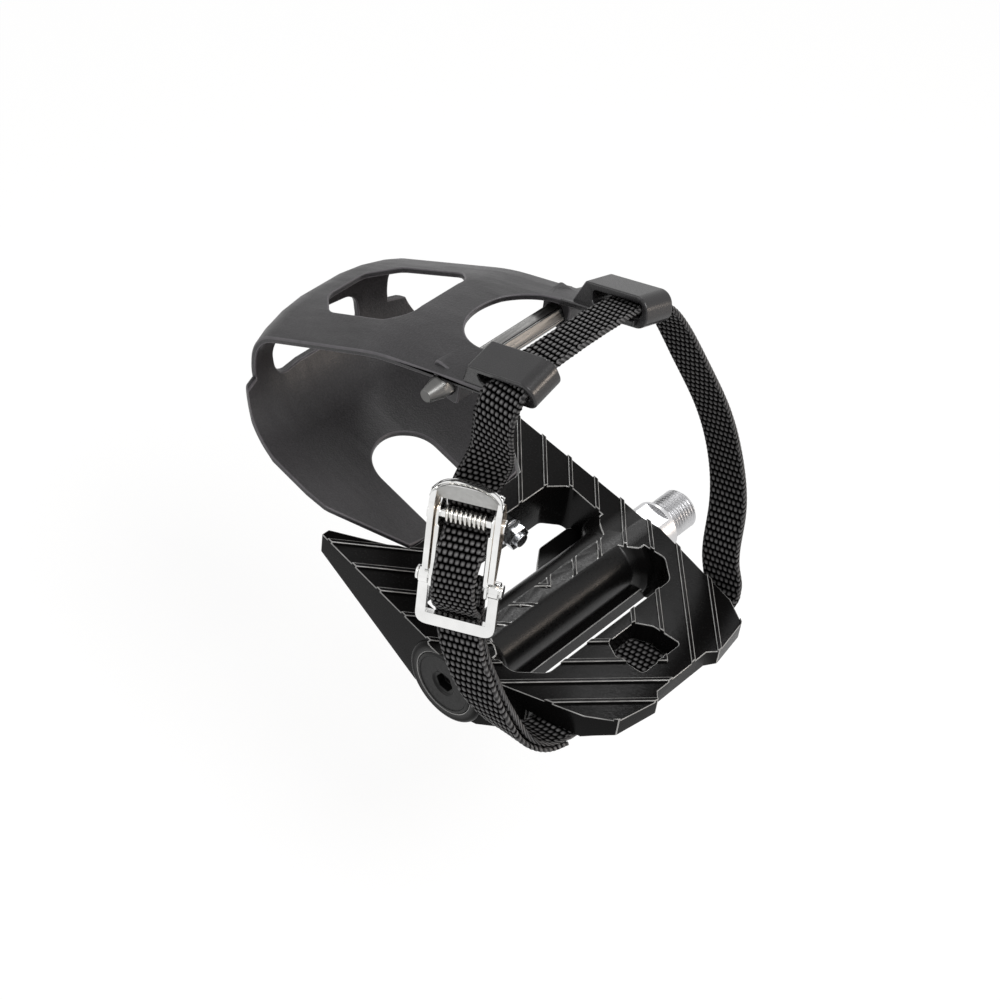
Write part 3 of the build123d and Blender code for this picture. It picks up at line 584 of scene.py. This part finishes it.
def woven_strip(name, node, weave, material, drape=None):
    """Webbing in place of a plain strip: rows of floats on both faces, and a tight selvedge.

    A drape moves the two edges of each cross-section.
    """
    lines = corner_lines(node)
    length = np.mean([np.linalg.norm(np.diff(line, axis=0), axis=1).sum() for line in lines])
    rows = int(length / weave.row_length)
    # Points along one float and across it
    per_row, per_column = 4, 7
    count = rows * per_row + 1
    start = [resampled(line, count) for line in lines]
    # Order the corners as top left, top right, bottom right, bottom left
    start_gap = [np.linalg.norm(line[0] - lines[0][0]) for line in lines]
    thin, wide, far = sorted(range(1, 4), key=lambda i: start_gap[i])
    top_left, top_right = start[0], start[wide]
    bottom_left, bottom_right = start[thin], start[far]
    if drape:
        top_left, top_right = drape(top_left, top_right)
        bottom_left, bottom_right = drape(bottom_left, bottom_right)
    facing = (top_left + top_right) - (bottom_left + bottom_right)
    facing /= np.linalg.norm(facing, axis=1)[:, None]
    thickness = np.linalg.norm(top_left - bottom_left, axis=1).mean()
    shares = np.linspace(0, 1, weave.columns * per_column + 1)
    along = np.arange(count) / per_row
    # Every other row is half a float to the side
    shift = np.where(np.floor(along) % 2 == 0, 0.0, 0.5)
    phase = shares[None, :] * weave.columns + shift[:, None]
    bumps = pillow(phase, 1.05) * pillow(along, 1.15)[:, None]
    # The selvedge is a tight braid half a float wide, five stitches to four rows
    selvedge_width, selvedge_low, selvedge_rise, stitches = 0.5, 0.12, 0.78, 1.25
    from_edge = np.minimum(shares, 1 - shares) * weave.columns
    braid = selvedge_low + selvedge_rise * pillow(stitches * along + 0.5, 1.1)
    bumps[:, from_edge < selvedge_width] = braid[:, None]
    # The edge is rounded over by a share of the thickness, and the floats sink into the strip
    edge_fall, sunk = 0.4 * thickness, 0.75
    inward = np.clip(from_edge / selvedge_width, 0, 1)
    drop = (1 - np.sqrt(1 - (1 - inward) ** 2)) * edge_fall
    rise = (bumps - sunk) * weave.relief - drop[None, :]
    vertices = []
    for left, right, sense in ((top_left, top_right, 1), (bottom_right, bottom_left, -1)):
        flat = left[:, None] * (1 - shares)[:, None] + right[:, None] * shares[:, None]
        vertices.append(flat + sense * facing[:, None] * rise[:, :, None])
    ring = np.concatenate(vertices, axis=1)
    tone = np.concatenate([bumps, bumps], axis=1)
    around = ring.shape[1]
    index = np.arange(count * around).reshape(count, around)
    ahead = np.roll(index, -1, axis=1)
    quads = np.stack([index[:-1], ahead[:-1], ahead[1:], index[1:]], axis=-1).reshape(-1, 4)
    faces = quads.tolist() + [index[0].tolist(), index[-1][::-1].tolist()]
    mesh = bpy.data.meshes.new(name)
    mesh.from_pydata(ring.reshape(-1, 3).tolist(), [], faces)
    height = mesh.attributes.new("weave_height", "FLOAT", "POINT")
    height.data.foreach_set("value", tone.reshape(-1).astype(np.float32))
    mesh.polygons.foreach_set("use_smooth", np.ones(len(mesh.polygons), bool))
    mesh.materials.append(material)
    mesh.validate()
    outward = bmesh.new()
    outward.from_mesh(mesh)
    bmesh.ops.recalc_face_normals(outward, faces=outward.faces)
    outward.to_mesh(mesh)
    outward.free()
    strip = bpy.data.objects.new(name, mesh)
    bpy.context.scene.collection.objects.link(strip)
    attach(strip, "pedal")
    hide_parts(node)


class Buckle:
    """The buckle's own directions: across, up and out from its face, in millimetres."""

    # Height of the lever's pin, and roughly which way the buckle faces in the pedal's frame
    pin_height = 38.0
    outward = Vector((-0.431, 0.8785, 0.203))

    def __init__(self):
        joints = FRAME["record"]["behaviour"]["joints"]
        hinge = next(joint for joint in joints if joint["name"] == "buckle_lever")
        self.pivot = Vector(hinge["pos_m"])
        self.across = Vector(hinge["axis"]).normalized()
        square = self.outward - self.across * self.outward.dot(self.across)
        self.facing = square.normalized()
        self.up = self.facing.cross(self.across)

    def place(self, a, b, c):
        """The point a across, b up and c out from the buckle's face."""
        above_pin = b - self.pin_height
        return self.pivot + MM * (a * self.across + above_pin * self.up + c * self.facing)

    def heights(self, points):
        """How far up the buckle each point lies."""
        return (points - np.array(self.pivot)) @ np.array(self.up) / MM + self.pin_height

    def prism(self, shape, outline, low, high, order):
        """Adds a prism to a mesh: its outline in the first two directions, long in the third."""
        rings = []
        for level in (low, high):
            ring = []
            for one, two in outline:
                spot = dict(zip(order, (one, two, level)))
                ring.append(shape.verts.new(self.place(spot["a"], spot["b"], spot["c"])))
            rings.append(ring)
        shape.faces.new(rings[0][::-1])
        shape.faces.new(rings[1])
        for here in range(len(outline)):
            ahead = (here + 1) % len(outline)
            shape.faces.new((rings[0][here], rings[0][ahead], rings[1][ahead], rings[1][here]))


def rounded(corners, radius, steps=5):
    """An outline with each corner turned at its own radius, or at one radius for all."""
    side_share = 0.48
    radii = radius if isinstance(radius, (list, tuple)) else [radius] * len(corners)
    outline = []
    for here, corner in enumerate(corners):
        corner = Vector(corner)
        back = Vector(corners[here - 1]) - corner
        ahead = Vector(corners[(here + 1) % len(corners)]) - corner
        reach = min(radii[here], side_share * back.length, side_share * ahead.length)
        start, end = corner + back.normalized() * reach, corner + ahead.normalized() * reach
        for step in range(steps + 1):
            t = step / steps
            outline.append(tuple(start * (1 - t) ** 2 + corner * (2 * t * (1 - t)) + end * t ** 2))
    return outline


def plated_piece(name, node, body, shape, width, *materials):
    """Rounds the edges of a built mesh and puts it in a solid's place."""
    steep = 1.1
    bmesh.ops.recalc_face_normals(shape, faces=shape.faces)
    hard = [
        edge
        for edge in shape.edges
        if len(edge.link_faces) == 2 and edge.calc_face_angle() > steep
    ]
    round_edges(shape, hard, width, segments=3, clamp=True, material=-1)
    for face in shape.faces:
        face.smooth = True
    piece = shaded_piece(name, shape, math.radians(50), materials)
    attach(piece, body)
    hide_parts(node)


# Operators


class PEDAL_OT_body(bpy.types.Operator):
    """Paints the pedal body and rounds its edges"""

    bl_idname = "pedal.body"
    bl_label = "Body"

    def execute(self, context):
        finish = context.scene.pedal_finish
        finished_copy(
            "pedal_body",
            "body",
            finish.body_edge,
            gloss_paint(finish.paint_color),
            # Second material: painted highlight along the body's rounded edges
            painted_edge_highlight(),
        )
        return {"FINISHED"}


class PEDAL_OT_bearings(bpy.types.Operator):
    """Finishes the spindle, the bearings, the seal and the dust cap"""

    bl_idname = "pedal.bearings"
    bl_label = "Spindle and Bearings"

    def execute(self, context):
        finish = context.scene.pedal_finish
        turned = bright_plating("Turned steel", (0.60, 0.60, 0.61), 0.26, 0.42, stretch=(1, 14, 1))
        races = bright_plating("Ground steel", (0.62, 0.62, 0.62), 0.12, 0.25)
        bronze = bright_plating("Sintered bronze", (0.55, 0.38, 0.17), 0.35, 0.6, strength=0.2)
        rubber = soft_rubber()
        thread_edge = 0.12 * MM
        soften(dress("spindle", turned), thread_edge)
        for node in ("bearing_outer", "bearing_inner", "ball_cage", "bearing_washer", "lock_nut"):
            dress(node, races)
        dress("inboard_bushing", bronze)
        for node in ("inboard_seal", "cap_oring"):
            dress(node, rubber)
        soften(dress("dust_cap", black_cap((0.0025, 0.0025, 0.0025))), finish.small_edge)
        return {"FINISHED"}


class PEDAL_OT_clip(bpy.types.Operator):
    """Finishes the toe clip, the bar under its arms and its bolts"""

    bl_idname = "pedal.clip"
    bl_label = "Toe Clip"

    def execute(self, context):
        finish = context.scene.pedal_finish
        guide_front, guide_foot = 20.5 * MM, 100 * MM
        finished_copy(
            "toe_clip",
            "clip",
            finish.clip_edge,
            charcoal_moulding(finish.moulding_color),
            # Second material: painted highlight along the clip's rounded edges and rims
            moulding_edge_highlight(finish.moulding_color),
            guide_moulding(finish.moulding_color),
            segments=3,
            third=lambda place: place.x < guide_front and place.z > guide_foot,
        )
        satin = bright_plating("Satin alloy", (0.135, 0.134, 0.131), 0.32, 0.46, stretch=(1, 9, 1))
        soften(dress("spreader_bar", satin), finish.small_edge)
        zinc = bright_plating("Zinc plate", (0.58, 0.59, 0.61), 0.18, 0.34)
        for side in ("out", "in"):
            for kind in ("clip_bolt_", "clip_washer_", "clip_nut_"):
                soften(dress(kind + side, zinc), finish.small_edge)
        return {"FINISHED"}


class PEDAL_OT_strap(bpy.types.Operator):
    """Weaves the strap and its tail"""

    bl_idname = "pedal.strap"
    bl_label = "Strap"

    def execute(self, context):
        weave = context.scene.pedal_webbing
        webbing = black_webbing(weave.yarn_and_highlight_color, weave.gap_shade_color)
        woven_strip("strap_webbing", "strap", weave, webbing)
        woven_strip("tail_webbing", "strap_tail", weave, webbing, drape=self.slack)
        return {"FINISHED"}

    def slack(self, left, right):
        """Bellies the tail out of the buckle and gathers it away from the open side."""
        foot, height = 6.0, 26.0
        bulge, gather = 1.6 * MM, 0.07
        buckle = Buckle()
        share = np.clip((buckle.heights(0.5 * (left + right)) - foot) / height, 0, 1)
        belly = (np.sin(np.pi * share) ** 2)[:, None]
        out = belly * np.array(buckle.facing) * bulge
        narrowing = gather * belly * (right - left)
        toward = (right - left) @ np.array(buckle.across)
        if toward.mean() > 0:
            return left + out, right + out - narrowing
        return left + out + narrowing, right + out


class PEDAL_OT_buckle(bpy.types.Operator):
    """Plates the buckle, its spring and its loop"""

    bl_idname = "pedal.buckle"
    bl_label = "Buckle"

    def execute(self, context):
        finish = context.scene.pedal_finish
        plate = bright_plating("Bright plate", (0.86, 0.86, 0.85), 0.06, 0.15)
        wire = bright_plating("Spring wire", (0.72, 0.71, 0.68), 0.12, 0.22)
        warm = bright_plating("Warm plate", (0.56, 0.47, 0.38), 0.22, 0.36, strength=0.06)
        grip = bright_plating("Stippled plate", (0.50, 0.50, 0.49), 0.38, 0.60, strength=0.9)
        buckle = Buckle()
        self.lever(buckle, plate, warm, grip)
        self.frame(buckle, plate)
        self.loop(buckle, plate)
        for node in ("lever_pin", "loop_pin"):
            soften(dress(node, plate), finish.small_edge)
        dress("lever_spring", wire)
        return {"FINISHED"}

    def lever(self, buckle, plate, warm, grip):
        """Two legs outside the frame, and an arched thumb tab that leans out between them."""
        foot, front = 19, 4.2
        leg_inner, leg_outer, corner = 9.4, 11.2, 1.4
        behind_pin = [(36, -2.6), (40, -2.6)]
        head = [(46, -0.4), (48, 2.6), (44, front)]
        leg = rounded([(foot, 1.2), *behind_pin, *head, (foot, front)], corner)
        shape = bmesh.new()
        for hand in (1, -1):
            buckle.prism(shape, leg, hand * leg_inner, hand * leg_outer, "bca")
        shape.normal_update()
        for face in shape.faces:
            if abs(face.normal.dot(buckle.across)) > 0.9:
                face.material_index = 1
        self.tab(buckle, shape)
        plated_piece("thumb_lever", "buckle_lever", "lever", shape, 0.42 * MM, plate, warm, grip)

    def tab(self, buckle, shape):
        """A half-moon plate with a beaded rim, stippled for the thumb."""
        count, rows = 40, 8
        half, foot, shoulder, arch = 11.2, 44.2, 45.6, 7.0
        front_face, rear_face, lean = 1.4, 0.3, 2.4
        bead_height, bead_width = 0.75, 0.9
        nose_rise, nose_out = 0.5, 3.3
        loops = []
        for i in range(count + 1):
            a = half * math.sin(math.pi * (i / count - 0.5))
            top = shoulder + arch * max(0.0, 1 - abs(a / (half + 0.01)) ** 2.6) ** 0.55
            front, rear = [], []
            for j in range(rows + 1):
                s = j / rows
                b = foot + (top - foot) * s
                bead = bead_height * math.exp(-(((top - b) / bead_width) ** 2))
                front.append((a, b, front_face + lean * s + bead))
                rear.append((a, b, rear_face + lean * s - bead))
            nose = (a, top + nose_rise, nose_out)
            section = front + [nose] + rear[::-1]
            loops.append([shape.verts.new(buckle.place(*spot)) for spot in section])
        around = len(loops[0])
        for here, ahead in zip(loops, loops[1:]):
            for j in range(around):
                k = (j + 1) % around
                face = shape.faces.new((here[j], ahead[j], ahead[k], here[k]))
                face.material_index = 2 if j < rows - 2 else 0
        shape.faces.new(loops[0])
        shape.faces.new(loops[-1][::-1])

    def frame(self, buckle, plate):
        """Two cheeks with turned-in lips, joined by a plate behind the strap."""
        inner, outer, head = 8.0, 9.2, 44
        front, rear = 3, -7.6
        foot = [(12, front), (12, -3), (20, rear)]
        cheek = rounded([*foot, (head, rear), (head, -4.6), (40.4, front)], 2.0)
        lip_inner, lip_foot, lip_head = 7.5, 17.0, 35.4
        lip_box = [
            (lip_inner, lip_foot),
            (outer, lip_foot),
            (outer, lip_head),
            (lip_inner, lip_head),
        ]
        back_half, back_foot = 8.6, 22.0
        shape = bmesh.new()
        for hand in (1, -1):
            buckle.prism(shape, cheek, hand * inner, hand * outer, "bca")
            lip = [(hand * a, b) for a, b in rounded(lip_box, 0.8)]
            buckle.prism(shape, lip, 2.0, 3.2, "abc")
        back = [
            (-back_half, back_foot),
            (back_half, back_foot),
            (back_half, head),
            (-back_half, head),
        ]
        buckle.prism(shape, back, -7.5, -6.3, "abc")
        plated_piece("plated_frame", "buckle_frame", "pedal", shape, 0.35 * MM, plate)

    def loop(self, buckle, plate):
        """A flat U with square inside corners, hung on the loop pin."""
        half, inner, head = 12.6, 9.5, 14.0
        foot, bar_top, half_thick = -2.6, 1.7, 1.2
        pin_height, eye_radius, eye_points = 15, 2.8, 24
        eye_inner, eye_outer = 9.56, 12.44
        corners = [(-half, head), (-half, foot), (half, foot), (half, head)]
        outside = rounded(corners, [0.1, 4.0, 4.0, 0.1], steps=8)
        inside = [(inner, head), (inner, bar_top), (-inner, bar_top), (-inner, head)]
        eye = []
        for step in range(eye_points):
            turn = math.tau * step / eye_points
            eye.append((pin_height + eye_radius * math.cos(turn), eye_radius * math.sin(turn)))
        shape = bmesh.new()
        buckle.prism(shape, outside + inside, -half_thick, half_thick, "abc")
        for hand in (1, -1):
            buckle.prism(shape, eye, hand * eye_inner, hand * eye_outer, "bca")
        plated_piece("flat_loop", "strap_loop", "pedal", shape, 0.35 * MM, plate)


class PEDAL_OT_studio(bpy.types.Operator):
    """Sets the floor, the lights and the camera"""

    bl_idname = "pedal.studio"
    bl_label = "Studio"

    def execute(self, context):
        studio = context.scene.pedal_studio
        scene = context.scene
        scene.view_settings.view_transform = "Standard"
        self.world(scene)
        self.floor(scene, studio)
        white, warm = (1.0, 1.0, 1.0), (1.0, 0.86, 0.74)
        middle = (0.00, 0.055, 0.00)
        # Each light's place, aim, size, power and colour
        self.lamp(scene, "Key", (-0.50, 0.20, 0.95), (0.02, 0.055, 0.04), 0.45, 6.5, white)
        self.lamp(scene, "Fill", (0.75, 0.75, 0.55), (0.03, 0.055, 0.04), 0.60, 1.8, white)
        self.lamp(scene, "Barrel", (0.45, -0.50, 0.75), middle, 0.20, 1.3, white)
        self.lamp(scene, "Low", (-0.80, -0.45, 0.26), middle, 0.30, 2.6, warm)
        self.camera(scene, studio)
        return {"FINISHED"}

    def world(self, scene):
        """White where it is seen or mirrored, and dimmer as a light."""
        dimmed, white = 0.45, 1.0
        world = bpy.data.worlds.new("Studio")
        world.use_nodes = True
        scene.world = world
        sky = Tree(world.node_tree)
        path = sky.add("ShaderNodeLightPath").outputs
        through = sky.larger(path["Is Glossy Ray"], path["Is Transmission Ray"])
        seen = sky.larger(path["Is Camera Ray"], through)
        background = sky.tree.nodes["Background"]
        background.inputs["Color"].default_value = (1, 1, 1, 1)
        sky.link(sky.span(seen, dimmed, white, 0, 1), background.inputs["Strength"])

    def floor(self, scene, studio):
        """A white floor that keeps the pedal's shadow."""
        half_side = 3
        glow_share, glow_strength = 0.80, 1.05
        # The pedal turns all the way round its spindle, so the floor lies below its reach
        ahead, above = CAD_BOX[1][0], CAD_BOX[1][2]
        low = -math.hypot(ahead, above)
        mesh = bpy.data.meshes.new("floor")
        square = [(-1, -1), (1, -1), (1, 1), (-1, 1)]
        corners = [(half_side * x, half_side * y, low) for x, y in square]
        mesh.from_pydata(corners, [], [(0, 1, 2, 3)])
        floor = bpy.data.objects.new("floor", mesh)
        scene.collection.objects.link(floor)
        nodes = Nodes("Studio floor")
        nodes.fix("Base Color", (*studio.floor_color, 1))
        nodes.fix("Roughness", 0.9)
        nodes.fix("Specular IOR Level", 0.0)
        path = nodes.add("ShaderNodeLightPath").outputs
        share = nodes.add("ShaderNodeMath", operation="MULTIPLY")
        nodes.link(nodes.larger(path["Is Camera Ray"], path["Is Glossy Ray"]), share.inputs[0])
        share.inputs[1].default_value = glow_share
        glow = nodes.add("ShaderNodeEmission")
        glow.inputs["Strength"].default_value = glow_strength
        mix = nodes.add("ShaderNodeMixShader")
        nodes.link(share.outputs[0], mix.inputs["Fac"])
        nodes.link(nodes.shader.outputs["BSDF"], mix.inputs[1])
        nodes.link(glow.outputs["Emission"], mix.inputs[2])
        surface = nodes.tree.nodes["Material Output"].inputs["Surface"]
        nodes.link(mix.outputs["Shader"], surface)
        mesh.materials.append(nodes.material)

    def lamp(self, scene, name, place, aim, size, power, color):
        light = bpy.data.lights.new(name, "AREA")
        light.shape = "DISK"
        light.size = size
        light.energy = power
        light.color = color
        lamp = bpy.data.objects.new(name, light)
        scene.collection.objects.link(lamp)
        lamp.location = place
        toward = Vector(aim) - Vector(place)
        lamp.rotation_euler = toward.to_track_quat("-Z", "Y").to_euler()

    def camera(self, scene, studio):
        data = bpy.data.cameras.new("Camera")
        data.lens = studio.lens
        data.sensor_width = SENSOR_WIDTH
        camera = bpy.data.objects.new("Camera", data)
        scene.collection.objects.link(camera)
        right = Vector(studio.camera_right)
        up = Vector(studio.camera_up)
        turn = Matrix((right, up, right.cross(up))).transposed().to_4x4()
        camera.matrix_world = Matrix.Translation(Vector(studio.camera_place)) @ turn
        scene.camera = camera


class PEDAL_PT_panel(bpy.types.Panel):
    """Lists the pedal's settings and its build steps"""

    bl_idname = "PEDAL_PT_panel"
    bl_label = "Toe Clip Pedal"
    bl_space_type = "VIEW_3D"
    bl_region_type = "UI"
    bl_category = "Pedal"

    def draw(self, context):
        layout = self.layout
        for group in (
            context.scene.pedal_finish,
            context.scene.pedal_webbing,
            context.scene.pedal_studio,
        ):
            box = layout.box()
            for key in group.bl_rna.properties.keys():
                if key not in ("rna_type", "name"):
                    box.prop(group, key)
        for step in STEPS:
            layout.operator(step.bl_idname)


STEPS = (
    PEDAL_OT_body,
    PEDAL_OT_bearings,
    PEDAL_OT_clip,
    PEDAL_OT_strap,
    PEDAL_OT_buckle,
    PEDAL_OT_studio,
)
SETTINGS = (PedalFinishSettings, WebbingSettings, StudioSettings)


def register():
    for cls in (*SETTINGS, *STEPS, PEDAL_PT_panel):
        bpy.utils.register_class(cls)
    bpy.types.Scene.pedal_finish = PointerProperty(type=PedalFinishSettings)
    bpy.types.Scene.pedal_webbing = PointerProperty(type=WebbingSettings)
    bpy.types.Scene.pedal_studio = PointerProperty(type=StudioSettings)


def unregister():
    del bpy.types.Scene.pedal_studio
    del bpy.types.Scene.pedal_webbing
    del bpy.types.Scene.pedal_finish
    for cls in reversed((*SETTINGS, *STEPS, PEDAL_PT_panel)):
        bpy.utils.unregister_class(cls)


def main():
    register()
    bpy.ops.pedal.body()
    bpy.ops.pedal.bearings()
    bpy.ops.pedal.clip()
    bpy.ops.pedal.strap()
    bpy.ops.pedal.buckle()
    bpy.ops.pedal.studio()


if __name__ == "__main__":
    main()
